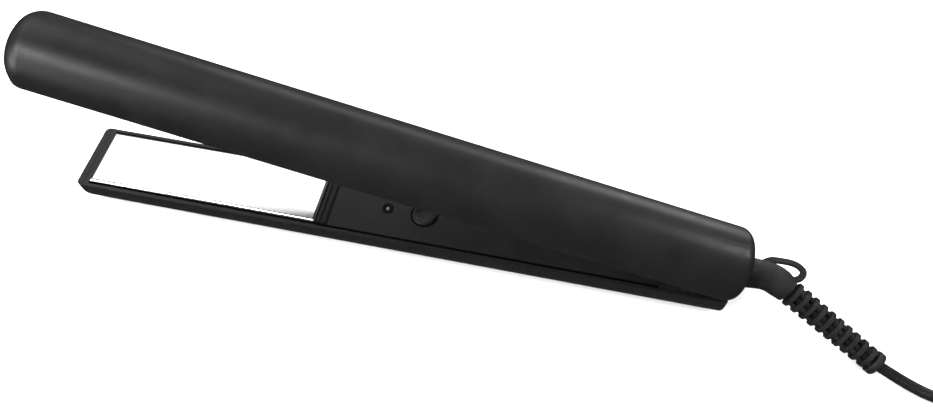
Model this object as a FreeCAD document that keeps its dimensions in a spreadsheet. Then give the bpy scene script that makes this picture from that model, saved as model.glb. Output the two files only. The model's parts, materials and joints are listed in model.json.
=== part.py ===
import FreeCAD, Part
import Sketcher
import math
import os
import re

# A flat iron (hair straightener): two hinged arms with heated plates, a push button,
# and a cord that leaves the hinge end through a swivelling neck.
# The origin is on the table under the hinge axis. The tips point towards -X, +Z is up.

Vector = FreeCAD.Vector
doc = FreeCAD.newDocument("flat_iron")

sizes = {
    # arms, measured from the hinge axis (x) and from the middle plane between the arms (depth)
    "lower_tip": 259, "upper_tip": 263, "upper_rear": 7.4, "lower_rear": 5.2, "half_width": 14.7,
    "arm_depth": 17.95, "rim_gap": 1.25, "foot_cut": 0.5,
    "wall": 1.3, "lower_corner": 13.5, "upper_corner": 14, "cap_length": 2.6, "cap_gap": 0.15,
    "tip_wall": 5, "lower_tip_round": 2, "upper_tip_round": 7.2, "lower_rear_round": 1,
    "upper_rear_round": 4, "heel_round": 8, "hinge_height": 17.95, "open_angle": 13.7,
    # heated plates
    "plate_half": 12.5, "plate_tip": 253.7, "plate_end": 156.1, "plate_face": 0.15, "plate_thick": 2.5,
    "plate_round": 1.1, "float_travel": 0.8, "heater_half": 6, "heater_thick": 1.6, "side_gap": 0.3,
    "carrier_face": 5.5, "carrier_thick": 1.5, "stop_radius": 2.2, "stop_offset": 9,
    # inner faces of the handle
    "bar_tip": 155.8, "bar_end": 151.3, "bar_face": 1.2, "ridge_radius": 0.8, "cover_end": 20,
    "cover_half": 12.2, "cover_face": 1.5, "cover_thick": 1.6, "screw_reach": 34, "screw_head": 2.2,
    "screw_radius": 1.2, "boss_radius": 2.8,
    # button, light and circuit board
    "button_reach": 114, "bezel_radius": 6, "bezel_inner": 5.3, "button_radius": 4.9, "button_face": 0.75,
    "dish_radius": 16, "light_reach": 129.2, "light_radius": 1.5, "board_face": 8.5,
    "board_thick": 1.6,
    # hinge and swivel
    "lug_radius": 3.2, "lug_inner": 8.6, "lug_thick": 2, "pin_radius": 1.6, "running_fit": 0.05,
    "bracket_start": 19, "bracket_face": 9.9, "bracket_thick": 1.6, "socket_radius": 7.5,
    "socket_start": -4.4, "socket_end": 8.0, "swivel_height": 17, "ball_reach": 2.0, "ball_radius": 5,
    "socket_fit": 0.3, "stem_radius": 3.8, "neck_start": 8.5, "neck_radius": 5.6,
    # cord, strain relief and plug
    "cord_diameter": 4.5, "boot_radius": 5.0, "boot_end_radius": 4.3, "boot_core": 3.1, "rib_thick": 1.9,
    "coil_inner": 20, "coil_outer": 34, "coil_height": 16.5, "plug_half": 17.6, "plug_thick": 13.7,
    "plug_length": 36, "plug_pin_radius": 2, "plug_pin_length": 19, "plug_pin_offset": 9.3,
}

rib_count = 11
loop_radius = 1.0

# where things lie, in the object's own frame
neck_corner = Vector(20.4, 0, 17)      # where the swivel axis meets the axis of the strain relief
boot_start = Vector(26.8, -3.45, 15.2)
boot_end = Vector(62.3, -22.5, 5.5)
coil_centre = Vector(125, 2, 0)
plug_rear = Vector(125.5, -20.3, 23.5)
plug_turn = -82                         # degrees about +Z; the plug lies on the coil
cord_route = [boot_end, Vector(71.8, -26.2, 3.5), Vector(82, -29.4, 2.5), Vector(96, -31.7, 2.4),
              Vector(111, -31.4, 2.4), Vector(125, -29.5, 2.4)]
tail_route = [Vector(103.9, -5.7, 14.8), Vector(106.6, -11.0, 16.4), Vector(111.2, -15.9, 19),
              Vector(117.7, -19.3, 21.8), plug_rear]
loop_route = [Vector(18.3, 5.0, 19.3), Vector(25.5, 7.8, 18.2), Vector(36.2, 9.1, 16.4),
              Vector(35.2, 1.1, 14.6), Vector(29.6, -0.6, 15)]

sheet = doc.addObject("Spreadsheet::Sheet", "Sizes")
for row, (alias, value) in enumerate(sizes.items(), 1):
    sheet.set(f"A{row}", alias)
    sheet.set(f"B{row}", str(value))
    sheet.setAlias(f"B{row}", alias)
doc.recompute()

nodes = []


def from_sheet(text):
    """Turn a sum of aliases into an expression that reads the sheet."""
    return re.sub(r"[a-z_]{3,}", lambda found: "Sizes." + found.group(0), text)


def bind(thing, **properties):
    """Bind properties to the sheet; two underscores stand for a dot."""
    for name, text in properties.items():
        thing.setExpression(name.replace("__", "."), from_sheet(text))


def arm_placement(arm):
    """Arm pieces are drawn with +Z pointing out of the jaw, then placed on their own side."""
    turn = {"lower": FreeCAD.Rotation(Vector(1, 0, 0), 180),
            "upper": FreeCAD.Rotation(Vector(0, 1, 0), sizes["open_angle"])}[arm]
    return FreeCAD.Placement(Vector(0, 0, sizes["hinge_height"]), turn)


def register(thing, node, placement=None):
    thing.Label = node
    if placement is not None:
        thing.Placement = placement
    nodes.append((node, thing))
    return thing


def new_body(name):
    return doc.addObject("PartDesign::Body", name + "_body")


def constrain(sketch, kind, *numbers, bound=None):
    """Add one constraint and, if asked, bind its value to the sheet."""
    index = sketch.addConstraint(Sketcher.Constraint(kind, *numbers))
    if bound:
        bind(sketch, **{f"Constraints[{index}]": bound})


def section_sketch(body, name, start, half, low, high, corner):
    """A closed section across the arm: flat below, with its two outer corners rounded."""
    sketch = body.newObject("Sketcher::SketchObject", name)
    plane = next(item for item in body.Origin.OriginFeatures if item.Role == "YZ_Plane")
    sketch.AttachmentSupport = (plane, [""])
    sketch.MapMode = "FlatFace"
    bind(sketch, AttachmentOffset__Base__z=start)
    for first, second in (((-9, 2), (9, 2)), ((9, 2), (9, 5)), ((6, 8), (-6, 8)), ((-9, 5), (-9, 2))):
        sketch.addGeometry(Part.LineSegment(Vector(*first, 0), Vector(*second, 0)))
    up = Vector(0, 0, 1)
    sketch.addGeometry(Part.ArcOfCircle(Part.Circle(Vector(6, 5, 0), up, 3), 0, math.pi / 2))
    sketch.addGeometry(Part.ArcOfCircle(Part.Circle(Vector(-6, 5, 0), up, 3), math.pi / 2, math.pi))
    for joint in ((0, 2, 1, 1), (3, 2, 0, 1)):
        constrain(sketch, "Coincident", *joint)
    for joint in ((1, 2, 4, 1), (4, 2, 2, 1), (2, 2, 5, 1), (5, 2, 3, 1)):
        constrain(sketch, "Tangent", *joint)
    for kind, line in (("Horizontal", 2), ("Vertical", 1), ("Vertical", 3)):
        constrain(sketch, kind, line)
    constrain(sketch, "Equal", 4, 5)
    constrain(sketch, "Symmetric", 0, 1, 0, 2, -2)
    constrain(sketch, "DistanceX", 0, 1, 0, 2, 18.0, bound=f"2 * ({half})")
    constrain(sketch, "DistanceY", -1, 1, 0, 1, 2.0, bound=low)
    constrain(sketch, "DistanceY", -1, 1, 2, 1, 8.0, bound=high)
    constrain(sketch, "Radius", 4, 3.0, bound=corner)
    return sketch


def prism(body, name, start, end, **section):
    """Pad a section from one distance along the arm to another."""
    pad = body.newObject("PartDesign::Pad", name)
    pad.Profile = section_sketch(body, name + "_section", start, **section)
    bind(pad, Length=f"({end}) - ({start})")
    return pad


def hollow(body, name, start, end, **section):
    """Cut a section out of the body from one distance along the arm to another."""
    cut = body.newObject("PartDesign::Pocket", name)
    cut.Profile = section_sketch(body, name + "_section", start, **section)
    cut.Reversed = True
    bind(cut, Length=f"({end}) - ({start})")
    return cut


def round_edges(body, feature, name, radius, chosen):
    """Fillet the edges of a feature that a test picks."""
    doc.recompute()
    edges = [f"Edge{index}" for index, edge in enumerate(feature.Shape.Edges, 1) if chosen(edge)]
    fillet = body.newObject("PartDesign::Fillet", name)
    fillet.Base = (feature, edges)
    bind(fillet, Radius=radius)
    return fillet


def box(name, x, y, z):
    """A box between pairs of expressions along each axis."""
    solid = doc.addObject("Part::Box", name)
    for (low, high), size, axis in ((x, "Length", "x"), (y, "Width", "y"), (z, "Height", "z")):
        bind(solid, **{size: f"({high}) - ({low})", f"Placement__Base__{axis}": low})
    return solid


def rod(name, radius, x, y, z, along):
    """A round rod; the value for its own axis is a pair of ends."""
    solid = doc.addObject("Part::Cylinder", name)
    turn = {"x": FreeCAD.Rotation(Vector(0, 1, 0), 90), "y": FreeCAD.Rotation(Vector(1, 0, 0), -90),
            "z": FreeCAD.Rotation()}[along]
    solid.Placement = FreeCAD.Placement(Vector(), turn)
    for axis, text in (("x", x), ("y", y), ("z", z)):
        if axis == along:
            bind(solid, Height=f"({text[1]}) - ({text[0]})")
            text = text[0]
        bind(solid, **{f"Placement__Base__{axis}": text})
    bind(solid, Radius=radius)
    return solid


def ball(name, radius, x, y, z):
    solid = doc.addObject("Part::Sphere", name)
    bind(solid, Radius=radius, Placement__Base__x=x, Placement__Base__y=y, Placement__Base__z=z)
    return solid


def combine(kind, name, first, *others):
    """Fuse, cut or group solids as one document object."""
    if kind == "cut" and len(others) == 1:
        result = doc.addObject("Part::Cut", name)
        result.Base, result.Tool = first, others[0]
        return result
    if kind == "cut":
        return combine("cut", name, first, combine("fuse", name + "_tools", *others))
    if not others and kind == "fuse":
        return first
    result = doc.addObject({"fuse": "Part::MultiFuse", "group": "Part::Compound"}[kind], name)
    members = [first, *others]
    if kind == "fuse":
        result.Shapes = members
    else:
        result.Links = members
    return result


def both_sides(text):
    """The same expression on the near and the far side."""
    return (f"-({text})", text)


def arm_blank(arm, use):
    """Solid outer shape of a whole arm, rounded at its tip and rear."""
    body = new_body(f"{arm}_{use}")
    depth = "arm_depth + foot_cut" if arm == "lower" else "arm_depth"
    tip, rear, rim = -sizes[arm + "_tip"], sizes[arm + "_rear"], sizes["rim_gap"]
    blank = prism(body, f"{arm}_{use}_blank", f"-{arm}_tip", arm + "_rear", half="half_width",
                  low="rim_gap", high=depth, corner=arm + "_corner")
    for end, name in ((tip, "tip"), (rear, "rear")):
        blank = round_edges(body, blank, f"{arm}_{use}_{name}_round", f"{arm}_{name}_round",
                            lambda edge: all(abs(v.X - end) < 0.01 for v in edge.Vertexes)
                            and edge.BoundBox.ZMax > rim + 0.1)
    return body


def foot(use):
    """Room below the flat strip that the lower arm rests on."""
    return box("foot_" + use, ("-lower_tip - 1", "lower_rear + 1"), both_sides("half_width + 1"),
               ("arm_depth", "arm_depth + 2 * foot_cut"))


def shell(arm):
    """Outer casing of one arm: a trough that is open towards the jaw."""
    body = arm_blank(arm, "shell")
    rear, low = arm + "_rear", "rim_gap - 1"
    hollow(body, arm + "_hollow", "-(lower_tip - tip_wall)", rear + " - wall", half="half_width - wall",
           low=low, high="arm_depth - wall", corner=arm + "_corner - wall")
    rear_wall = (rear + " - wall - 1", rear + " + 1")
    room = "socket_radius + socket_fit"
    cuts = [box(arm + "_cap_room", (f"-{arm}_tip - 1", f"-({arm}_tip - cap_length - cap_gap)"),
                both_sides("half_width + 1"), (low, "arm_depth + 1"))]
    if arm == "lower":
        cuts.append(foot("shell"))
        cuts.append(rod("lower_notch", room, rear_wall, "0", "hinge_height - swivel_height", "x"))
    else:
        cuts.append(box("upper_arch", rear_wall, both_sides(room + " + 0.6"), (low, "heel_round / 2")))
        cuts.append(rod("upper_arch_crown", room + " + 0.6", rear_wall, "0", "heel_round / 2", "x"))
        corner = box("upper_heel_box", (rear + " - heel_round", rear + " + 1"),
                     both_sides("half_width + 1"), (low, "rim_gap + heel_round"))
        round_part = rod("upper_heel_round", "heel_round", rear + " - heel_round",
                         both_sides("half_width + 2"), "rim_gap + heel_round", "y")
        cuts.append(combine("cut", "upper_heel", corner, round_part))
    casing = combine("cut", arm + "_casing_cut", body, *cuts)
    boss = rod(arm + "_boss", "boss_radius", "-screw_reach", "0",
               ("cover_face + cover_thick", "arm_depth - wall / 2"), "z")
    drill = rod(arm + "_boss_drill", "screw_radius", "-screw_reach", "0",
                ("cover_face", "cover_face + 10"), "z")
    whole = combine("fuse", arm + "_casing_boss", casing, boss)
    register(combine("cut", arm + "_shell", whole, drill), arm + "_shell", arm_placement(arm))


def tip_cap(arm):
    """Heat-resistant cap that closes the tip of an arm."""
    body = arm_blank(arm, "cap")
    rest = box(arm + "_cap_limit", (f"-({arm}_tip - cap_length)", arm + "_rear + 1"),
               both_sides("half_width + 1"), ("rim_gap - 1", "arm_depth + 1"))
    cuts = [rest] + ([foot("cap")] if arm == "lower" else [])
    register(combine("cut", arm + "_tip_cap", body, *cuts), arm + "_tip_cap", arm_placement(arm))


def heated_plate(arm):
    """Ceramic-coated plate, its heater and, in the lower arm, the heat sensor."""
    body = new_body(arm + "_plate")
    plate = prism(body, arm + "_slab", "-plate_tip", "-plate_end", half="plate_half", low="plate_face",
                  high="plate_face + plate_thick", corner="plate_thick / 5")
    face = sizes["plate_face"]
    round_edges(body, plate, arm + "_plate_round", "plate_round",
                lambda edge: abs(edge.BoundBox.ZMax - face) < 0.01)
    register(body, arm + "_plate", arm_placement(arm))
    back = "plate_face + plate_thick"
    heater = box(arm + "_heater_strip", ("-plate_tip + 14", "-plate_end - 14"),
                 both_sides("heater_half"), (back, back + " + heater_thick"))
    register(combine("group", arm + "_heater", heater), arm + "_heater", arm_placement(arm))
    if arm == "lower":
        sensor = box("sensor_bead", ("-plate_end - 30", "-plate_end - 25"),
                     ("heater_half + 0.5", "heater_half + 3.5"), (back, back + " + heater_thick"))
        register(combine("group", "heat_sensor", sensor), "heat_sensor", arm_placement(arm))


def plate_carrier(arm):
    """Tray behind the plate, with four pads that stop the plate when it is pressed in."""
    tray = box(arm + "_tray", ("-plate_tip + 0.5", "-plate_end - 0.5"), both_sides("plate_half - 1"),
               ("carrier_face", "carrier_face + carrier_thick"))
    register(combine("group", arm + "_plate_carrier", tray), arm + "_plate_carrier", arm_placement(arm))
    low = "plate_face + plate_thick + float_travel + side_gap"
    pads = [rod(f"{arm}_stop_{index}", "stop_radius", x, y, (low, "carrier_face"), "z")
            for index, (x, y) in enumerate((x, y) for x in ("-plate_tip + 8", "-plate_end - 8")
                                           for y in both_sides("stop_offset"))]
    register(combine("group", arm + "_plate_stops", *pads), arm + "_plate_stops", arm_placement(arm))


def end_bar(arm):
    """Bar across the arm behind the plate, with two rounded ridges."""
    bar = box(arm + "_bar_block", ("-bar_tip", "-bar_end"), both_sides("cover_half"),
              ("bar_face", "cover_face + 2 * cover_thick"))
    ridges = [rod(f"{arm}_ridge_{index}", "ridge_radius", x, both_sides("cover_half"), "bar_face", "y")
              for index, x in enumerate(("-bar_tip + 1.1", "-bar_end - 1.1"))]
    register(combine("fuse", arm + "_end_bar", bar, *ridges), arm + "_end_bar", arm_placement(arm))


def inner_cover(arm):
    """Cover of the handle on the jaw side; the lower one has holes for the button and the light."""
    body = new_body(arm + "_inner_cover")
    prism(body, arm + "_cover_sheet", "-bar_end + 0.2", "-cover_end", half="cover_half",
          low="cover_face", high="cover_face + cover_thick", corner="cover_thick / 4")
    depth = ("cover_face - 1", "cover_face + cover_thick + 1")
    holes = [rod(arm + "_screw_hole", "screw_radius + 0.1", "-screw_reach", "0", depth, "z")]
    if arm == "lower":
        holes.append(rod("bezel_hole", "bezel_radius - 0.3", "-button_reach", "0", depth, "z"))
        holes.append(rod("light_hole", "light_radius + 0.1", "-light_reach", "0", depth, "z"))
    register(combine("cut", arm + "_inner_cover", body, *holes), arm + "_inner_cover", arm_placement(arm))


def cover_screw(arm):
    """Screw that holds the inner cover on the boss of the shell."""
    head = rod(arm + "_screw_head", "screw_head", "-screw_reach", "0",
               ("cover_face - 0.8", "cover_face"), "z")
    shank = rod(arm + "_screw_shank", "screw_radius", "-screw_reach", "0",
                ("cover_face - 0.1", "cover_face + 9"), "z")
    slot = box(arm + "_screw_slot", ("-screw_reach - 1.4", "-screw_reach + 1.4"), ("-0.3", "0.3"),
               ("cover_face - 1", "cover_face - 0.4"))
    fused = combine("fuse", arm + "_screw_blank", head, shank)
    register(combine("cut", arm + "_cover_screw", fused, slot), arm + "_cover_screw", arm_placement(arm))


def hinge_bracket(arm):
    """Plate across the arm with two lugs on the hinge axis."""
    if arm == "lower":
        inner, outer = "lug_inner", "lug_inner + lug_thick"
        face, base, rear = "bracket_face", "bracket_face", "lug_radius"
        bore = "pin_radius"
    else:
        inner, outer = "lug_inner + lug_thick + side_gap", "lug_inner + 2 * lug_thick - 0.1"
        face, base, rear = "carrier_face", "carrier_face", "-lug_radius - 3.3"
        bore = "pin_radius + running_fit"
    solids = [box(arm + "_bracket_plate", ("-bracket_start", rear), both_sides(outer),
                  (face, base + " + bracket_thick"))]
    holes = []
    for side, (low, high) in (("far", (inner, outer)), ("near", (f"-({outer})", f"-({inner})"))):
        solids.append(box(f"{arm}_lug_{side}", ("-lug_radius", "lug_radius"), (low, high),
                          ("0", base + " + bracket_thick")))
        solids.append(rod(f"{arm}_eye_{side}", "lug_radius", "0", (low, high), "0", "y"))
        if arm == "upper":
            solids.append(box(f"{arm}_web_{side}", ("-bracket_start", "lug_radius"), (low, high),
                              (face, base + " + bracket_thick")))
        holes.append(rod(f"{arm}_bore_{side}", bore, "0", (low + " - 1", high + " + 1"), "0", "y"))
    blank = combine("fuse", arm + "_bracket_blank", *solids)
    register(combine("cut", arm + "_hinge_bracket", blank, *holes), arm + "_hinge_bracket",
             arm_placement(arm))


def wires(arm):
    """Two insulated wires from the hinge end to the heater, along the floor of the casing."""
    pair = [rod(f"{arm}_wire_{side}", "0.9", ("-plate_end + 1", "-bracket_start - 1"), y,
                "bracket_face + 1.5", "x")
            for side, y in zip(("near", "far"), both_sides("screw_head + 3"))]
    register(combine("group", arm + "_wires", *pair), arm + "_wires", arm_placement(arm))


def hinge_pins():
    """Two short pins, fixed in the lower lugs and free to turn in the upper ones."""
    pins = [rod("pin_far", "pin_radius", "0",
                ("lug_inner + 0.1", "lug_inner + 2 * lug_thick - 0.2"), "0", "y"),
            rod("pin_near", "pin_radius", "0",
                ("-(lug_inner + 2 * lug_thick - 0.2)", "-lug_inner - 0.1"), "0", "y")]
    register(combine("group", "hinge_pins", *pins), "hinge_pins", arm_placement("lower"))


def opening_spring():
    """Bent leaf between the two brackets that pushes the arms apart."""
    outer = [(-18.6, 8.4), (-5.4, 14.6), (-17.6, 26.3)]
    inner = [(-17.6, 25.3), (-6.6, 14.6), (-18.6, 9.2)]
    width = 5
    corners = [Vector(x, -width, z) for x, z in outer + inner]
    leaf = doc.addObject("Part::Feature", "opening_spring")
    leaf.Shape = Part.Face(Part.makePolygon(corners + corners[:1])).extrude(Vector(0, 2 * width, 0))
    register(leaf, "opening_spring")


def control_unit():
    """Push button with its bezel, signal light, switch and circuit board in the lower arm."""
    arm = arm_placement("lower")
    depth = "cover_face + cover_thick"
    ring = rod("bezel_blank", "bezel_radius", "-button_reach", "0", ("cover_face - 0.5", "cover_face"), "z")
    sleeve = rod("bezel_sleeve", "bezel_radius - 0.35", "-button_reach", "0",
                 ("cover_face - 0.5", depth + " + 1"), "z")
    bezel_hole = rod("bezel_bore", "bezel_inner", "-button_reach", "0", ("0", depth + " + 3"), "z")
    bezel = combine("cut", "button_bezel", combine("fuse", "bezel_solid", ring, sleeve), bezel_hole)
    register(bezel, "button_bezel", arm)
    cap = rod("button_blank", "button_radius", "-button_reach", "0", ("button_face", depth + " + 1.2"), "z")
    dish = ball("button_dish", "dish_radius", "-button_reach", "0", "button_face + 0.75 - dish_radius")
    register(combine("cut", "power_button", cap, dish), "power_button", arm)
    lens = rod("lens_rod", "light_radius", "-light_reach", "0", ("cover_face - 0.3", "board_face"), "z")
    register(combine("group", "light_lens", lens), "light_lens", arm)
    board = box("board_sheet", ("-button_reach - 26", "-button_reach + 20"), both_sides("plate_half - 3"),
                ("board_face", "board_face + board_thick"))
    register(combine("group", "circuit_board", board), "circuit_board", arm)
    case = box("switch_case", ("-button_reach - 3", "-button_reach + 3"), both_sides("3"),
               ("board_face - 2.2", "board_face"))
    plunger = rod("switch_plunger", "1.6", "-button_reach", "0", ("board_face - 2.7", "board_face"), "z")
    register(combine("fuse", "push_switch", case, plunger), "push_switch", arm)


def swivel_socket():
    """Fixed socket at the rear of the lower arm that holds the ball of the cord neck."""
    block = rod("socket_block", "socket_radius", ("socket_start", "socket_end"), "0", "swivel_height", "x")
    seat = ball("socket_seat", "ball_radius + socket_fit", "ball_reach", "0", "swivel_height")
    mouth = rod("socket_mouth", "stem_radius + socket_fit", ("ball_reach", "socket_end + 1"), "0",
                "swivel_height", "x")
    wire_way = rod("socket_wire_way", "2", ("socket_start - 1", "ball_reach"), "0", "swivel_height", "x")
    register(combine("cut", "swivel_socket", block, seat, mouth, wire_way), "swivel_socket")


def neck():
    """Swivelling neck: ball, stem and a bent round tube that carries the strain relief."""
    pivot = ball("neck_ball", "ball_radius", "ball_reach", "0", "swivel_height")
    stem = rod("neck_stem", "stem_radius", ("ball_reach", "neck_start + 1"), "0", "swivel_height", "x")
    bend = doc.addObject("Part::Feature", "neck_bend")
    bend.Shape = tube([Vector(sizes["neck_start"], 0, sizes["swivel_height"]), neck_corner, boot_start],
                      sizes["neck_radius"])
    register(combine("fuse", "swivel_neck", pivot, stem, bend), "swivel_neck")


def rounded_path(points):
    """Straight runs joined by tangent arcs, as one wire, with the radius of each arc."""
    edges, radii, start = [], [], points[0]
    for before, corner, after in zip(points, points[1:], points[2:]):
        arriving, leaving = corner - before, after - corner
        half_turn = arriving.getAngle(leaving) / 2
        cut_back = 0.45 * min(arriving.Length, leaving.Length)
        radius = cut_back / math.tan(half_turn)
        arriving.normalize()
        leaving.normalize()
        first, last = corner - arriving * cut_back, corner + leaving * cut_back
        inward = (leaving - arriving).normalize()
        middle = corner + inward * (radius / math.cos(half_turn) - radius)
        edges.append(Part.LineSegment(start, first).toShape())
        edges.append(Part.Arc(first, middle, last).toShape())
        radii.append(round(radius, 1))
        start = last
    edges.append(Part.LineSegment(start, points[-1]).toShape())
    return Part.Wire(edges), radii


def tube(points, radius):
    """A round bar along a rounded path."""
    path, radii = rounded_path(points)
    ring = Part.makeCircle(radius, points[0], points[1] - points[0])
    solid = path.makePipeShell([Part.Wire([ring])], True, True)
    print("arc radii", radii, "length", round(path.Length, 1),
          "volume ratio", round(solid.Volume / (math.pi * radius ** 2 * path.Length), 4))
    return solid


def hang_loop():
    """Flat loop on the far side of the neck."""
    strap = doc.addObject("Part::Feature", "hang_loop")
    strap.Shape = tube(loop_route, loop_radius)
    register(strap, "hang_loop")


def strain_relief():
    """Ribbed boot between the neck and the cord, drawn along +Z and laid on its own axis."""
    direction = boot_end - boot_start
    length = direction.Length
    pitch = length / rib_count
    core = rod("boot_core", "boot_core", "0", "0", ("0", str(length)), "z")
    ribs = []
    for index in range(rib_count):
        rib = doc.addObject("Part::Cylinder", f"boot_rib_{index}")
        share = index / (rib_count - 1)
        bind(rib, Radius=f"boot_radius + (boot_end_radius - boot_radius) * {share:.3f}",
             Height="rib_thick")
        rib.Placement.Base.z = (index + 1) * pitch - sizes["rib_thick"]
        ribs.append(rib)
    boot = combine("fuse", "strain_relief", core, *ribs)
    register(boot, "strain_relief",
             FreeCAD.Placement(boot_start, FreeCAD.Rotation(Vector(0, 0, 1), direction)))


def cord():
    """Free cord: the stretch to the coil, the stretch to the plug, and the coil as one ring."""
    radius = sizes["cord_diameter"] / 2
    lead = doc.addObject("Part::Feature", "cord_lead")
    lead.Shape = Part.makeCompound([tube(cord_route, radius), tube(tail_route, radius)])
    register(lead, "cord_lead")
    ring = rod("coil_ring", "coil_outer", "0", "0", ("0", "coil_height"), "z")
    eye = rod("coil_eye", "coil_inner", "0", "0", ("-1", "coil_height + 1"), "z")
    register(combine("cut", "cord_coil", ring, eye), "cord_coil", FreeCAD.Placement(coil_centre,
                                                                                    FreeCAD.Rotation()))


def plug():
    """Two-pin mains plug, drawn with its cord entry at the origin and its pins towards +Y."""
    place = FreeCAD.Placement(plug_rear, FreeCAD.Rotation(Vector(0, 0, 1), plug_turn))
    half, length = sizes["plug_half"], sizes["plug_length"]
    outline = [(-5, 0), (5, 0), (6, 7), (half, 22), (half, length), (-half, length), (-half, 22), (-6, 7)]
    corners = [Vector(x, y, -sizes["plug_thick"] / 2) for x, y in outline]
    block = doc.addObject("Part::Feature", "plug_block")
    blank = Part.Face(Part.makePolygon(corners + corners[:1])).extrude(Vector(0, 0, sizes["plug_thick"]))
    block.Shape = blank.makeFillet(2.5, [edge for edge in blank.Edges if edge.BoundBox.ZLength < 0.01
                                         and edge.BoundBox.YMax < length - 0.01])
    register(combine("group", "plug_body", block), "plug_body", place)
    pins = [rod("plug_pin_" + side, "plug_pin_radius", x, ("plug_length", "plug_length + plug_pin_length"),
                "0", "y") for side, x in zip(("left", "right"), both_sides("plug_pin_offset"))]
    register(combine("group", "plug_pins", *pins), "plug_pins", place)


for side in ("lower", "upper"):
    for make in (shell, tip_cap, heated_plate, plate_carrier, end_bar, inner_cover, cover_screw,
                 hinge_bracket, wires):
        make(side)
for make in (hinge_pins, opening_spring, control_unit, swivel_socket, neck, hang_loop, strain_relief,
             cord, plug):
    make()
doc.recompute()

for item in doc.Objects:
    if "Invalid" in item.State or "Error" in item.State:
        raise RuntimeError(f"{item.Label} failed: {item.State}")
os.makedirs("parts", exist_ok=True)
for node, thing in nodes:
    if thing.Shape.isNull() or not thing.Shape.isValid() or not thing.Shape.Solids:
        raise RuntimeError(f"{node} has no valid solid")
    thing.Shape.exportStep(f"parts/{node}.step")
    print(node, "solids", len(thing.Shape.Solids), "volume", round(thing.Shape.Volume, 1))
print(len(nodes), "nodes")
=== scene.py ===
import json
import math

import bpy
from mathutils import Matrix, Vector


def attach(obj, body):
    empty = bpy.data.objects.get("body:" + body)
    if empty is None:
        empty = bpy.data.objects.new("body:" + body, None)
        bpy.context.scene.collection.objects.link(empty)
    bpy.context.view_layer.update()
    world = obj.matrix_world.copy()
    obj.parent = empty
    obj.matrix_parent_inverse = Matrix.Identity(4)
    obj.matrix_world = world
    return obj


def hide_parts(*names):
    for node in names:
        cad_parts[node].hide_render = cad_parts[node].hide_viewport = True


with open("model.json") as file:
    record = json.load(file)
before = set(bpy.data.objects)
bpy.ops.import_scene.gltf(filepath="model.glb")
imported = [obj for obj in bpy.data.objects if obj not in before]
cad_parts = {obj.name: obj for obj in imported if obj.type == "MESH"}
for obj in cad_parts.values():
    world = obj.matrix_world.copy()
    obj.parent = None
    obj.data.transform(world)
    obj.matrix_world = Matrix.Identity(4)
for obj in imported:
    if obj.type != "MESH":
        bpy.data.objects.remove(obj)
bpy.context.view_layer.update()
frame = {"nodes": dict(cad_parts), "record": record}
nodes = frame["nodes"]
print("frame loaded:", len(nodes), "nodes")

making = {"sharpEdge": 35, "mergeDistance": 0.000004, "blockSegments": 2}


def selectOnly(piece):
    bpy.ops.object.select_all(action="DESELECT")
    piece.select_set(True)
    bpy.context.view_layer.objects.active = piece


def applyModifiers(piece):
    selectOnly(piece)
    for modifier in list(piece.modifiers):
        bpy.ops.object.modifier_apply(modifier=modifier.name)


def bevelEdges(piece, width, segments):
    bevel = piece.modifiers.new("edges", "BEVEL")
    bevel.width = width
    bevel.segments = segments
    bevel.limit_method = "ANGLE"
    bevel.angle_limit = math.radians(making["sharpEdge"])
    applyModifiers(piece)


def smoothen(piece, angle):
    selectOnly(piece)
    bpy.ops.object.shade_smooth_by_angle(angle=math.radians(angle))


def joinPieces(pieces, name):
    bpy.ops.object.select_all(action="DESELECT")
    for piece in pieces:
        piece.select_set(True)
    bpy.context.view_layer.objects.active = pieces[0]
    bpy.ops.object.join()
    whole = bpy.context.view_layer.objects.active
    whole.name = name
    return whole


def placePiece(piece, matrix):
    # the place goes into the mesh, and the object stays at the origin
    piece.matrix_world = matrix
    selectOnly(piece)
    bpy.ops.object.transform_apply(location=True, rotation=True, scale=True)


def finishPiece(piece, name, body, material, replaced=()):
    piece.name = name
    piece.data.name = name
    piece.data.materials.clear()
    piece.data.materials.append(material)
    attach(piece, body)
    if replaced:
        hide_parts(*replaced)
    return piece


def tidyMesh(piece):
    selectOnly(piece)
    bpy.ops.object.mode_set(mode="EDIT")
    bpy.ops.mesh.select_mode(type="VERT")
    bpy.ops.mesh.select_all(action="SELECT")
    bpy.ops.mesh.remove_doubles(threshold=making["mergeDistance"])
    bpy.ops.mesh.normals_make_consistent(inside=False)
    bpy.ops.object.mode_set(mode="OBJECT")


def turned(name, profile, steps, filled=True):
    # a ring at the first (radius, height) pair is pulled and scaled through all the others
    radius, height = profile[0]
    bpy.ops.object.select_all(action="DESELECT")
    bpy.ops.mesh.primitive_circle_add(vertices=steps, radius=radius, location=(0, 0, height),
                                      fill_type="NGON" if filled else "NOTHING")
    piece = bpy.context.view_layer.objects.active
    piece.name = name
    bpy.ops.object.transform_apply(location=True, rotation=False, scale=False)
    bpy.ops.object.mode_set(mode="EDIT")
    bpy.ops.mesh.select_mode(type="VERT")
    bpy.ops.mesh.select_all(action="SELECT")
    for nextRadius, nextHeight in profile[1:]:
        pull = (0, 0, nextHeight - height)
        bpy.ops.mesh.extrude_region_move(TRANSFORM_OT_translate={"value": pull})
        scale = nextRadius / radius
        bpy.ops.transform.resize(value=(scale, scale, 1), center_override=(0, 0, 0))
        radius, height = nextRadius, nextHeight
    bpy.ops.object.mode_set(mode="OBJECT")
    tidyMesh(piece)
    return piece


def roundBlock(name, size, centre, width):
    # a block whose edges are rounded over
    bpy.ops.object.select_all(action="DESELECT")
    bpy.ops.mesh.primitive_cube_add(size=1, location=centre, scale=size)
    piece = bpy.context.view_layer.objects.active
    piece.name = name
    bpy.ops.object.transform_apply(location=True, rotation=True, scale=True)
    bevelEdges(piece, width, making["blockSegments"])
    return piece


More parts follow.
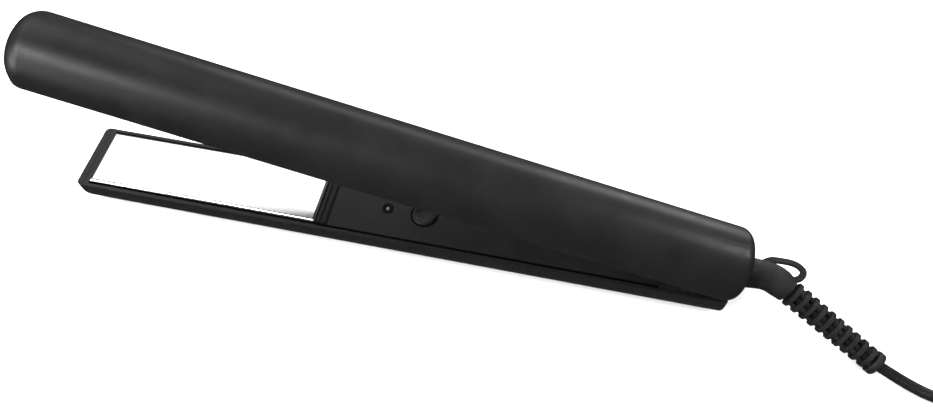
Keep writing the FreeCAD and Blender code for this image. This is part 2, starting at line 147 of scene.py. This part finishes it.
def pickFaces(piece, chosen):
    # leaves the piece in edit mode with only the chosen faces selected
    selectOnly(piece)
    bpy.ops.object.mode_set(mode="EDIT")
    bpy.ops.mesh.select_mode(type="FACE")
    bpy.ops.mesh.select_all(action="DESELECT")
    bpy.ops.object.mode_set(mode="OBJECT")
    for face in piece.data.polygons:
        face.select = chosen(face)
    bpy.ops.object.mode_set(mode="EDIT")


def copyPiece(piece, name):
    twin = piece.copy()
    twin.data = piece.data.copy()
    twin.name = name
    bpy.context.scene.collection.objects.link(twin)
    return twin


def curveToMesh(curve):
    selectOnly(curve)
    bpy.ops.object.convert(target="MESH")
    return bpy.context.view_layer.objects.active


def alongAxis(start, direction, roll=0.0):
    turn = direction.to_track_quat("Z", "Y").to_matrix().to_4x4()
    return Matrix.Translation(start) @ turn @ Matrix.Rotation(math.radians(roll), 4, "Z")


# the part of a noise that colour and roughness are spread over, and its finer make for the grain
pattern = {"colourFrom": 0.35, "colourTo": 0.7, "roughFrom": 0.3, "roughTo": 0.7,
           "detail": 4.0, "roughness": 0.55, "grainDetail": 3.0, "grainRoughness": 0.6}


def newMaterial(name, baseColour, roughness, metallic=0.0):
    material = bpy.data.materials.new(name)
    material.use_nodes = True
    shader = material.node_tree.nodes["Principled BSDF"]
    shader.inputs["Base Color"].default_value = (*baseColour, 1)
    shader.inputs["Roughness"].default_value = roughness
    shader.inputs["Metallic"].default_value = metallic
    return material, shader


def noiseNode(material, scale, detail=pattern["detail"], roughness=pattern["roughness"]):
    tree = material.node_tree
    place = tree.nodes.new("ShaderNodeTexCoord")
    noise = tree.nodes.new("ShaderNodeTexNoise")
    noise.inputs["Scale"].default_value = scale
    noise.inputs["Detail"].default_value = detail
    noise.inputs["Roughness"].default_value = roughness
    tree.links.new(place.outputs["Object"], noise.inputs["Vector"])
    return noise


def varyColour(material, shader, noise, dark, light):
    tree = material.node_tree
    ramp = tree.nodes.new("ShaderNodeValToRGB")
    ramp.color_ramp.elements[0].position = pattern["colourFrom"]
    ramp.color_ramp.elements[1].position = pattern["colourTo"]
    ramp.color_ramp.elements[0].color = (*dark, 1)
    ramp.color_ramp.elements[1].color = (*light, 1)
    tree.links.new(noise.outputs["Fac"], ramp.inputs["Fac"])
    tree.links.new(ramp.outputs["Color"], shader.inputs["Base Color"])


def varyRoughness(material, shader, noise, low, high):
    tree = material.node_tree
    spread = tree.nodes.new("ShaderNodeMapRange")
    spread.inputs["From Min"].default_value = pattern["roughFrom"]
    spread.inputs["From Max"].default_value = pattern["roughTo"]
    spread.inputs["To Min"].default_value = low
    spread.inputs["To Max"].default_value = high
    tree.links.new(noise.outputs["Fac"], spread.inputs["Value"])
    tree.links.new(spread.outputs["Result"], shader.inputs["Roughness"])


def addGrain(material, shader, scale, strength, distance):
    tree = material.node_tree
    grain = noiseNode(material, scale, pattern["grainDetail"], pattern["grainRoughness"])
    bump = tree.nodes.new("ShaderNodeBump")
    bump.inputs["Strength"].default_value = strength
    bump.inputs["Distance"].default_value = distance
    tree.links.new(grain.outputs["Fac"], bump.inputs["Height"])
    tree.links.new(bump.outputs["Normal"], shader.inputs["Normal"])


def layFinish(name, look):
    # patches and wear are noise scales, gloss is a roughness range,
    # and grain is a noise scale, a strength and a depth
    material, shader = newMaterial(name, look["light"], look["roughness"], look.get("metallic", 0.0))
    if "specular" in look:
        shader.inputs["Specular IOR Level"].default_value = look["specular"]
    varyColour(material, shader, noiseNode(material, look["patches"]), look["dark"], look["light"])
    varyRoughness(material, shader, noiseNode(material, look["wear"]), *look["gloss"])
    addGrain(material, shader, *look["grain"])
    return material


def softTouchPlastic():
    look = {"dark": (0.0045, 0.0045, 0.0048), "light": (0.0068, 0.0068, 0.0072),
            "roughness": 0.5, "specular": 0.4, "patches": 60,
            "wear": 220, "gloss": (0.36, 0.46), "grain": (2600, 0.22, 0.00004)}
    return layFinish("softTouchPlastic", look)


def innerPlastic():
    look = {"dark": (0.003, 0.003, 0.0032), "light": (0.0055, 0.0055, 0.0058),
            "roughness": 0.55, "specular": 0.38, "patches": 45,
            "wear": 180, "gloss": (0.46, 0.6), "grain": (1800, 0.3, 0.00005)}
    return layFinish("innerPlastic", look)


def mirrorPlate():
    look = {"dark": (0.86, 0.87, 0.88), "light": (0.94, 0.94, 0.945),
            "roughness": 0.16, "metallic": 1.0, "patches": 25,
            "wear": 140, "gloss": (0.13, 0.2), "grain": (900, 0.05, 0.00001)}
    return layFinish("mirrorPlate", look)


def bootRubber():
    look = {"dark": (0.004, 0.004, 0.0042), "light": (0.0075, 0.0075, 0.008),
            "roughness": 0.6, "specular": 0.4, "patches": 160,
            "wear": 300, "gloss": (0.5, 0.66), "grain": (2200, 0.25, 0.00004)}
    return layFinish("bootRubber", look)


def cordSheath():
    look = {"dark": (0.004, 0.004, 0.0042), "light": (0.0065, 0.0065, 0.007),
            "roughness": 0.24, "specular": 0.6, "patches": 120,
            "wear": 260, "gloss": (0.18, 0.3), "grain": (900, 0.08, 0.00003)}
    return layFinish("cordSheath", look)


def platedSteel():
    look = {"dark": (0.42, 0.42, 0.43), "light": (0.6, 0.6, 0.61),
            "roughness": 0.34, "metallic": 1.0, "patches": 200,
            "wear": 400, "gloss": (0.26, 0.42), "grain": (700, 0.15, 0.00003)}
    return layFinish("platedSteel", look)


# near-black finish for the rings round the power button and the status lens: painted shade of the gaps
# round them
def gapShadeRing():
    look = {"dark": (0.0012, 0.0012, 0.0013), "light": (0.0024, 0.0024, 0.0025),
            "roughness": 0.7, "specular": 0.12, "patches": 200,
            "wear": 300, "gloss": (0.6, 0.8), "grain": (1500, 0.15, 0.00003)}
    return layFinish("gapShadeRing", look)


def plainFinish(name, dark, light, roughness, metallic=0.0, scale=90):
    look = {"dark": dark, "light": light, "roughness": roughness, "metallic": metallic,
            "patches": scale, "wear": 2 * scale, "gloss": (roughness * 0.85, roughness * 1.1),
            "grain": (12 * scale, 0.15, 0.00003)}
    return layFinish(name, look)


def clearLens():
    look = {"colour": (0.3, 0.3, 0.29), "roughness": 0.12, "transmission": 0.5, "index": 1.49,
            "wear": 400, "gloss": (0.08, 0.2), "grain": (1500, 0.05, 0.00002)}
    material, shader = newMaterial("clearLens", look["colour"], look["roughness"])
    shader.inputs["Transmission Weight"].default_value = look["transmission"]
    shader.inputs["IOR"].default_value = look["index"]
    varyRoughness(material, shader, noiseNode(material, look["wear"]), *look["gloss"])
    addGrain(material, shader, *look["grain"])
    return material


finishes = {
    "soft_touch_shell": softTouchPlastic(),
    "inner_plastic": innerPlastic(),
    "mirror_plate": mirrorPlate(),
    "boot_rubber": bootRubber(),
    "cord_sheath": cordSheath(),
    # the light_ring slot takes the near-black ring finish, which is painted gap shade
    "light_ring": gapShadeRing(),
    "plug_plastic": plainFinish("plugPlastic", (0.012, 0.012, 0.0125), (0.018, 0.018, 0.019), 0.42),
    "steel": platedSteel(),
    "heater_ceramic": plainFinish("heaterCeramic", (0.6, 0.56, 0.48), (0.74, 0.7, 0.62), 0.6),
    "carrier_plastic": plainFinish("carrierPlastic", (0.03, 0.03, 0.03), (0.06, 0.058, 0.055), 0.55),
    "silicone": plainFinish("siliconeRed", (0.38, 0.08, 0.05), (0.5, 0.12, 0.08), 0.5),
    "circuit_board": plainFinish("solderMask", (0.004, 0.012, 0.007), (0.008, 0.02, 0.012), 0.35),
    "wire_sleeve": plainFinish("wireSleeve", (0.55, 0.53, 0.48), (0.7, 0.68, 0.62), 0.5),
    "plug_brass": plainFinish("nickelPin", (0.62, 0.6, 0.55), (0.78, 0.75, 0.69), 0.25, 1.0, 300),
    "light_lens": clearLens(),
}

slotOfNode = {entry["node"]: entry["material_slot"] for entry in frame["record"]["subparts"]}
for name, node in nodes.items():
    node.data.materials.clear()
    node.data.materials.append(finishes[slotOfNode[name]])
print("materials made:", len(finishes))

boot = {
    "start": (0.0268, -0.00345, 0.0152), "end": (0.0623, -0.0225, 0.0055), "roll": -147,
    "ribs": 11, "ribThick": 0.0017, "ribEdge": 0.00018, "ribSteps": 40,
    "rootRadius": 0.0051, "tipRadius": 0.0044, "lastGrowth": 1.06, "lastDepth": 1.5,
    "coreRadius": 0.0019, "coreRoot": 1.25, "coreTip": 0.93, "coreTaper": 0.1, "coreSteps": 24,
    "coreRootTuck": 0.001, "coreTipTuck": 0.0002,
    "bridgeOffset": 0.0027, "bridgeWidth": 0.0017, "bridgeDepth": 0.0052, "bridgeLap": 0.0004,
    "bridgeEdge": 0.00025, "swing": 16, "smoothAngle": 35,
}


def makeBoot():
    start, end = Vector(boot["start"]), Vector(boot["end"])
    length = (end - start).length
    pitch = length / boot["ribs"]
    core = boot["coreRadius"]
    parts = [turned("bootCore", [(core * boot["coreRoot"], -boot["coreRootTuck"]),
                                 (core, length * boot["coreTaper"]),
                                 (core * boot["coreTip"], length - boot["coreTipTuck"])],
                    boot["coreSteps"])]
    half, radius, edge = boot["ribThick"] / 2, boot["rootRadius"], boot["ribEdge"]
    rib = turned("bootRib", [(radius - edge, -half), (radius, edge - half),
                             (radius, half - edge), (radius - edge, half)], boot["ribSteps"])
    gap = pitch - 2 * half
    size = (boot["bridgeWidth"], boot["bridgeDepth"], gap + boot["bridgeLap"])
    sides = []
    for side in (1, -1):
        place = (side * boot["bridgeOffset"], 0, -half - gap / 2)
        sides.append(roundBlock("bootBridge", size, place, boot["bridgeEdge"]))
    bridge = joinPieces(sides, "bootBridge")
    for index in range(boot["ribs"]):
        last = index == boot["ribs"] - 1
        share = 1 + (boot["tipRadius"] / radius - 1) * index / (boot["ribs"] - 1)
        grown = share * (boot["lastGrowth"] if last else 1.0)
        deep = boot["lastDepth"] if last else 1.0
        place = Matrix.Translation((0, 0, (index + 1) * pitch - half * deep))
        copy = copyPiece(rib, "bootRib")
        placePiece(copy, place @ Matrix.Diagonal((grown, grown, deep, 1)))
        parts.append(copy)
        if index:
            # two bridges join each pair of ribs, and the windows between them swing side to side
            copy = copyPiece(bridge, "bootBridge")
            swing = boot["swing"] * (1 if index % 2 else -1)
            turn = Matrix.Rotation(math.radians(swing), 4, "Z")
            placePiece(copy, place @ turn @ Matrix.Diagonal((share, share, 1, 1)))
            parts.append(copy)
    for sample in (rib, bridge):
        bpy.data.objects.remove(sample)
    whole = joinPieces(parts, "strainReliefBoot")
    placePiece(whole, alongAxis(start, end - start, boot["roll"]))
    smoothen(whole, boot["smoothAngle"])
    return finishPiece(whole, "strainReliefBoot", "swivel",
                       finishes["boot_rubber"], ("strain_relief",))


neck = {
    "start": 0.0086, "corner": 0.0204, "height": 0.017, "cut": 0.004, "bendSteps": 10,
    "rootRadius": 0.006, "rootLength": 0.002, "bendRadius": 0.0056, "endRadius": 0.0049,
    "tailTuck": 0.0006, "ballRadius": 0.005, "ballCentre": 0.002,
    "ballTurns": (4, 128, 8), "stemRadius": 0.0038, "stemEnd": 0.0068, "steps": 40,
    "collar": [(0.0061, 0), (0.0064, 0.0003), (0.0064, 0.0011), (0.0061, 0.0014)],
    "collarSteps": 48, "smoothAngle": 35,
}


def makeNeck():
    height, steps = neck["height"], neck["steps"]
    forward = Vector((1, 0, 0))
    corner = Vector((neck["corner"], 0, height))
    away = (Vector(boot["start"]) - corner).normalized()
    angle = away.angle(forward)
    arc = neck["cut"] / math.tan(angle / 2)
    inward = (away - Vector((away.x, 0, 0))).normalized()
    bendStart = corner - Vector((neck["cut"], 0, 0))
    root = Vector((neck["start"], 0, height))
    bend = turned("neckBend", [(neck["rootRadius"], 0), (neck["rootRadius"], neck["rootLength"]),
                               (neck["bendRadius"], bendStart.x - neck["start"])], steps)
    placePiece(bend, alongAxis(root, forward))
    pickFaces(bend, lambda face: face.normal.x > 0.99)
    bpy.ops.mesh.spin(steps=neck["bendSteps"], angle=-angle, center=bendStart + arc * inward,
                      axis=forward.cross(away).normalized())
    tail = (Vector(boot["start"]) - corner).length - neck["cut"] + neck["tailTuck"]
    bpy.ops.mesh.extrude_region_move(TRANSFORM_OT_translate={"value": away * tail})
    scale = neck["endRadius"] / neck["bendRadius"]
    bpy.ops.transform.resize(value=(scale, scale, scale),
                             center_override=corner + away * (neck["cut"] + tail))
    bpy.ops.object.mode_set(mode="OBJECT")
    ball, stem = neck["ballRadius"], neck["stemRadius"]
    seat = math.sqrt(ball ** 2 - stem ** 2)
    profile = [(ball * math.sin(math.radians(turn)), -ball * math.cos(math.radians(turn)))
               for turn in range(*neck["ballTurns"])]
    pivot = turned("neckBall", profile + [(stem, seat), (stem, neck["stemEnd"])], steps)
    placePiece(pivot, alongAxis(Vector((neck["ballCentre"], 0, height)), forward))
    collar = turned("neckCollar", neck["collar"], neck["collarSteps"])
    placePiece(collar, alongAxis(root, forward))
    whole = joinPieces([bend, pivot, collar], "swivelNeck")
    tidyMesh(whole)
    smoothen(whole, neck["smoothAngle"])
    return finishPiece(whole, "swivelNeck", "swivel", finishes["boot_rubber"],
                       ("swivel_neck",))


loop = {
    "route": [(0.0172, 0.0042, 0.0188), (0.0192, 0.0058, 0.0192), (0.0231, 0.0062, 0.0188),
              (0.0272, 0.0067, 0.018), (0.0304, 0.0064, 0.0171), (0.0328, 0.0046, 0.0164),
              (0.0318, 0.0021, 0.0157), (0.03, 0.0011, 0.0153), (0.0283, 0.0009, 0.0151),
              (0.0262, -0.0006, 0.0153)],
    "width": 0.0027, "thick": 0.0016, "fineness": 8, "smoothAngle": 50,
}


def makeLoop():
    curve = splineCurve("hangLoop", loop["route"])
    curve.data.resolution_u = loop["fineness"]
    strap = sweepProfile(curve, loop["width"], loop["thick"])
    tidyMesh(strap)
    smoothen(strap, loop["smoothAngle"])
    return finishPiece(strap, "hangLoop", "swivel", finishes["boot_rubber"],
                       ("hang_loop",))


controls = {
    "coverHeight": 0.01645,
    "buttonPlace": (-0.114, 0, 0), "buttonRadius": 0.0049, "buttonTop": 0.0172,
    # share of the button's radius, and depth under its top
    "buttonRim": [(1, 0.0036), (1, 0.0004), (0.93, 0.00008), (0.8, 0), (0.72, 0.00015)],
    "dishShare": 0.66, "dishDepth": 0.00085, "dishRise": 0.0004, "dishSteps": 6,
    "bezelInner": 0.00505, "bezelRadius": 0.0056, "bezelEdge": 0.0001, "bezelRise": 0.00025,
    "bezelDepth": 0.0026, "buttonSteps": 64,
    "lightPlace": (-0.1292, 0, 0), "ringRadius": 0.0023, "ringSteps": 40,
    # gap round the lens or distance in from the ring's edge, and height over the cover
    "ringBore": [(0.0001, -0.0012), (0.0002, -0.0004)],
    "ringRim": [(0.0008, 0.0001), (0.0005, 0.0004), (0.0002, 0.0004), (0, 0.0001), (0, -0.0001)],
    "lensRadius": 0.0007, "lensFoot": 0.007, "lensDip": 0.0004, "lensRise": 0.00075,
    "lensTurns": (90, 0, -15), "lensSteps": 32, "roundAngle": 50, "edgeAngle": 40,
}


def makeButton():
    radius, top = controls["buttonRadius"], controls["buttonTop"]
    steps = controls["dishSteps"]
    profile = [(radius * share, top - depth) for share, depth in controls["buttonRim"]]
    profile += [(radius * controls["dishShare"] * step / steps,
                 top - controls["dishDepth"] + controls["dishRise"] * (step / steps) ** 2)
                for step in range(steps, 0, -1)]
    button = turned("powerButton", profile, controls["buttonSteps"])
    placePiece(button, Matrix.Translation(controls["buttonPlace"]))
    smoothen(button, controls["roundAngle"])
    return finishPiece(button, "powerButton", "power_button",
                       finishes["inner_plastic"], ("power_button",))


def makeBezel():
    cover, inner, outer = controls["coverHeight"], controls["bezelInner"], controls["bezelRadius"]
    edge, rise, foot = controls["bezelEdge"], controls["bezelRise"], cover - controls["bezelDepth"]
    profile = [(inner, foot), (inner, cover), (inner + edge, cover + rise),
               (outer - edge, cover + rise), (outer, cover), (outer, foot), (inner, foot)]
    # this near-black ring stands for the shaded groove round the button: painted shade
    bezel = turned("buttonGapShadeBezel", profile, controls["buttonSteps"], False)
    placePiece(bezel, Matrix.Translation(controls["buttonPlace"]))
    smoothen(bezel, controls["edgeAngle"])
    return finishPiece(bezel, "buttonGapShadeBezel", "lower_arm",
                       finishes["light_ring"], ("button_bezel",))


def makeLight():
    cover, ring, lens = controls["coverHeight"], controls["ringRadius"], controls["lensRadius"]
    # a near-black ring round the lens stands for the shaded gap of its hole: painted shade
    profile = [(lens + gap, cover + rise) for gap, rise in controls["ringBore"]]
    profile += [(ring - inset, cover + rise) for inset, rise in controls["ringRim"]]
    rim = turned("lensGapShadeRing", profile + profile[:1], controls["ringSteps"], False)
    placePiece(rim, Matrix.Translation(controls["lightPlace"]))
    smoothen(rim, controls["edgeAngle"])
    finishPiece(rim, "lensGapShadeRing", "lower_arm", finishes["light_ring"])
    dip, rise = controls["lensDip"], controls["lensRise"]
    profile = [(lens, cover - controls["lensFoot"])]
    profile += [(lens * math.sin(math.radians(turn)), cover - dip + rise * math.cos(math.radians(turn)))
                for turn in range(*controls["lensTurns"])]
    lamp = turned("lightLens", profile, controls["lensSteps"])
    placePiece(lamp, Matrix.Translation(controls["lightPlace"]))
    smoothen(lamp, controls["roundAngle"])
    return finishPiece(lamp, "lightLens", "lower_arm", finishes["light_lens"],
                       ("light_lens",))


plug = {
    "rear": (0.1255, -0.0203, 0.0235), "turn": -82, "half": 0.0176, "thick": 0.0137,
    "length": 0.036, "neckHalf": 0.005, "neckLength": 0.008, "shoulder": 0.0215,
    "edge": 0.0022, "edgeSegments": 5, "smoothAngle": 35,
    "gripWidth": 0.016, "gripLength": 0.0011, "gripRise": 0.0005, "gripPlace": 0.0165,
    "gripEdge": 0.0005, "gripPitch": 0.003, "gripGrowth": 0.18, "gripCopies": 3,
    "pinRadius": 0.002, "pinLength": 0.019, "pinOffset": 0.0093, "pinSteps": 24, "pinSmooth": 40,
    # share of the pin's radius, and distance back from its end
    "pinTip": [(0.93, 0.0015), (0.8, 0.0006), (0.45, 0)], "sleeveLength": 0.0105,
}


def plugMatrix():
    return Matrix.Translation(plug["rear"]) @ Matrix.Rotation(math.radians(plug["turn"]), 4, "Z")


def makePlug():
    half, length, thick, rear = plug["half"], plug["length"], plug["thick"], plug["neckLength"]
    bpy.ops.object.select_all(action="DESELECT")
    bpy.ops.mesh.primitive_cube_add(size=1, location=(0, rear / 2, 0),
                                    scale=(2 * plug["neckHalf"], rear, thick))
    body = bpy.context.view_layer.objects.active
    bpy.ops.object.transform_apply(location=True, rotation=True, scale=True)
    pickFaces(body, lambda face: face.normal.y > 0.9)
    width = plug["neckHalf"]
    for pull, nextWidth in ((plug["shoulder"] - rear, half), (length - plug["shoulder"], half)):
        bpy.ops.mesh.extrude_region_move(TRANSFORM_OT_translate={"value": (0, pull, 0)})
        bpy.ops.transform.resize(value=(nextWidth / width, 1, 1), center_override=(0, 0, 0))
        width = nextWidth
    bpy.ops.object.mode_set(mode="OBJECT")
    tidyMesh(body)
    bevelEdges(body, plug["edge"], plug["edgeSegments"])
    size = (plug["gripWidth"], plug["gripLength"], thick + plug["gripRise"])
    grip = roundBlock("plugGrip", size, (0, plug["gripPlace"], 0), plug["gripEdge"])
    parts = [body, grip]
    for step in range(1, plug["gripCopies"] + 1):
        copy = copyPiece(grip, "plugGrip")
        place = Matrix.Translation((0, plug["gripPitch"] * step, 0))
        placePiece(copy, place @ Matrix.Diagonal((1 + plug["gripGrowth"] * step, 1, 1, 1)))
        parts.append(copy)
    whole = joinPieces(parts, "plugBody")
    placePiece(whole, plugMatrix())
    smoothen(whole, plug["smoothAngle"])
    return finishPiece(whole, "plugBody", "swivel", finishes["plug_plastic"],
                       ("plug_body",))


def makePins():
    radius, length, steps = plug["pinRadius"], plug["pinLength"], plug["pinSteps"]
    tip = [(radius * share, length - back) for share, back in plug["pinTip"]]
    pin = turned("plugPin", [(tip[0][0], 0)] + tip, steps)
    cover = turned("pinSleeve", [(radius, 0), (radius, plug["sleeveLength"])], steps)
    pairs = []
    for sample in (pin, cover):
        twin = copyPiece(sample, sample.name)
        for piece, side in ((sample, 1), (twin, -1)):
            offset = Vector((side * plug["pinOffset"], plug["length"], 0))
            placePiece(piece, plugMatrix() @ alongAxis(offset, Vector((0, 1, 0))))
        pairs.append(joinPieces([sample, twin], sample.name))
        smoothen(pairs[-1], plug["pinSmooth"])
    metal, plastic = pairs
    finishPiece(metal, "plugPins", "swivel", finishes["plug_brass"], ("plug_pins",))
    finishPiece(plastic, "pinSleeves", "swivel", finishes["plug_plastic"])
    return metal, plastic


cord = {
    "route": [(0.0623, -0.0225, 0.0055), (0.0718, -0.0262, 0.0035), (0.082, -0.0294, 0.0025),
              (0.096, -0.0317, 0.0024), (0.111, -0.0314, 0.0024)],
    "tail": [(0.1066, -0.011, 0.0164), (0.1112, -0.0159, 0.019), (0.1177, -0.0193, 0.0218),
             (0.1255, -0.0203, 0.0235)],
    "coilCentre": (0.125, 0.002), "coilInner": 0.0225, "coilOuter": 0.0315, "floorHeight": 0.0024,
    "layers": 5, "layerHeight": 0.0031, "turns": 9.8125, "pointsPerTurn": 16,
    # the share of a layer's turns after which the cord climbs, and the share that it climbs in
    "climbFrom": 0.9, "climbShare": 0.1,
    "width": 0.0045, "height": 0.0025, "length": 1.73, "fineness": 6, "smoothAngle": 50,
    "strandFrom": -140, "strandTurn": 28, "strandPoints": 11,
}


def coilPoints():
    points = []
    count = round(cord["turns"] * cord["pointsPerTurn"])
    for step in range(count + 1):
        share = step / count * cord["layers"]
        layer = min(int(share), cord["layers"] - 1)
        within = share - layer
        inward = within if layer % 2 == 0 else 1 - within
        radius = cord["coilOuter"] + (cord["coilInner"] - cord["coilOuter"]) * inward
        rise = 0.0
        if layer < cord["layers"] - 1:
            rise = min(1.0, max(0.0, (within - cord["climbFrom"]) / cord["climbShare"]))
        height = cord["floorHeight"] + (layer + rise) * cord["layerHeight"]
        angle = -math.pi / 2 + step / cord["pointsPerTurn"] * 2 * math.pi
        points.append((cord["coilCentre"][0] + radius * math.cos(angle),
                       cord["coilCentre"][1] + radius * math.sin(angle), height))
    return points


def splineCurve(name, points):
    data = bpy.data.curves.new(name, "CURVE")
    data.dimensions = "3D"
    data.twist_mode = "Z_UP"
    spline = data.splines.new("NURBS")
    spline.points.add(len(points) - 1)
    for point, place in zip(spline.points, points):
        point.co = (*place, 1)
    spline.order_u = 3
    spline.use_endpoint_u = True
    data.resolution_u = cord["fineness"]
    curve = bpy.data.objects.new(name, data)
    bpy.context.scene.collection.objects.link(curve)
    return curve


def twinProfile(width, height):
    # two round strands side by side, with a valley between them
    data = bpy.data.curves.new("twinProfile", "CURVE")
    data.dimensions = "2D"
    spline = data.splines.new("POLY")
    lobe = height / 2
    shift = (width - height) / 2
    outline = []
    for side in (1, -1):
        for step in range(cord["strandPoints"]):
            angle = math.radians(cord["strandFrom"] + cord["strandTurn"] * step)
            outline.append((side * (shift + lobe * math.cos(angle)), side * lobe * math.sin(angle)))
    spline.points.add(len(outline) - 1)
    for point, (x, y) in zip(spline.points, outline):
        point.co = (x, y, 0, 1)
    spline.use_cyclic_u = True
    profile = bpy.data.objects.new("twinProfile", data)
    bpy.context.scene.collection.objects.link(profile)
    return profile


def sweepProfile(curve, width, height):
    profile = twinProfile(width, height)
    curve.data.bevel_mode = "OBJECT"
    curve.data.bevel_object = profile
    curve.data.use_fill_caps = True
    swept = curveToMesh(curve)
    bpy.data.objects.remove(profile)
    return swept


def readPath(curve):
    plain = bpy.data.meshes.new_from_object(curve)
    return [tuple(vertex.co) for vertex in plain.vertices]


def makeCord():
    curve = splineCurve("mainsCord", cord["route"] + coilPoints() + cord["tail"])
    path = readPath(curve)
    cordMesh = sweepProfile(curve, cord["width"], cord["height"])
    smoothen(cordMesh, cord["smoothAngle"])
    finishPiece(cordMesh, "mainsCord", "swivel", finishes["cord_sheath"],
                ("cord_lead", "cord_coil"))
    return cordMesh, path


mainsCord, cordPath = makeCord()
print("cord made:", len(cordPath), "path points")

makeNeck()
bootPiece = makeBoot()
makeLoop()
print("neck, boot and loop made")
makeButton()
makeBezel()
makeLight()
print("controls made")
plugPiece = makePlug()
pinPieces = makePins()
print("plug made")

stage = {
    "floorHalf": 3.0, "floorHeight": -0.0002, "floorColour": (0.9, 0.9, 0.9),
    "floorRoughness": 0.9, "floorSpecular": 0.1, "roomLight": 0.09,
    "cameraPlace": (-0.05822, -0.14911, 0.28408), "cameraTurn": (30.989, 1.254, 12.361),
    "lens": 30.07, "sensorWidth": 36, "nearest": 0.01,
}

# place, target, size, power and whether the object mirrors it
softboxes = {
    "overheadSoftbox": ((-0.1, 0.1, 1.0), (-0.1, 0, 0), (2.2, 1.8), 62, False),
    "frontSoftbox": ((-0.82, -0.55, 0.3), (-0.24, 0, 0.06), (0.5, 0.4), 4, True),
    "plateCard": ((-0.66, 0.5, 0.85), (-0.2, 0, 0.02), (0.62, 0.62), 1.9, True),
    "tipSoftbox": ((-0.56, -0.42, 0.7), (-0.25, -0.01, 0.09), (0.28, 0.28), 4.4, True),
    "rearSoftbox": ((0.16, 0.45, 0.1), (0.04, 0, 0.02), (0.22, 0.1), 0.5, True),
    "cordSoftbox": ((0.195, 0.083, 0.255), (0.075, -0.027, 0.003), (0.04, 0.04), 0.22, True),
    "backSoftbox": ((-0.1, 0.7, 0.3), (-0.1, 0, 0.03), (0.6, 0.1), 1.1, True),
}


def makeFloor():
    bpy.ops.object.select_all(action="DESELECT")
    bpy.ops.mesh.primitive_plane_add(size=2 * stage["floorHalf"], location=(0, 0, stage["floorHeight"]))
    floor = bpy.context.view_layer.objects.active
    floor.name = "floor"
    floor.visible_glossy = False
    material, shader = newMaterial("floorPaper", stage["floorColour"], stage["floorRoughness"])
    shader.inputs["Specular IOR Level"].default_value = stage["floorSpecular"]
    floor.data.materials.append(material)


def addSoftbox(name, place, target, size, power, mirrored):
    data = bpy.data.lights.new(name, "AREA")
    data.shape = "RECTANGLE"
    data.size, data.size_y = size
    data.energy = power
    light = bpy.data.objects.new(name, data)
    light.location = place
    light.rotation_euler = (Vector(target) - Vector(place)).to_track_quat("-Z", "Y").to_euler()
    light.visible_glossy = mirrored
    light.visible_camera = False
    bpy.context.scene.collection.objects.link(light)


def makeLights():
    world = bpy.data.worlds.new("studio")
    world.use_nodes = True
    background = world.node_tree.nodes["Background"]
    background.inputs["Color"].default_value = (1, 1, 1, 1)
    background.inputs["Strength"].default_value = stage["roomLight"]
    bpy.context.scene.world = world
    for name, values in softboxes.items():
        addSoftbox(name, *values)


def makeCamera():
    data = bpy.data.cameras.new("camera")
    data.lens = stage["lens"]
    data.sensor_width = stage["sensorWidth"]
    data.sensor_fit = "HORIZONTAL"
    data.clip_start = stage["nearest"]
    camera = bpy.data.objects.new("camera", data)
    camera.location = stage["cameraPlace"]
    camera.rotation_euler = [math.radians(angle) for angle in stage["cameraTurn"]]
    bpy.context.scene.collection.objects.link(camera)
    bpy.context.scene.camera = camera


makeFloor()
makeLights()
makeCamera()
bpy.context.scene.view_settings.view_transform = "Standard"
print("stage set")
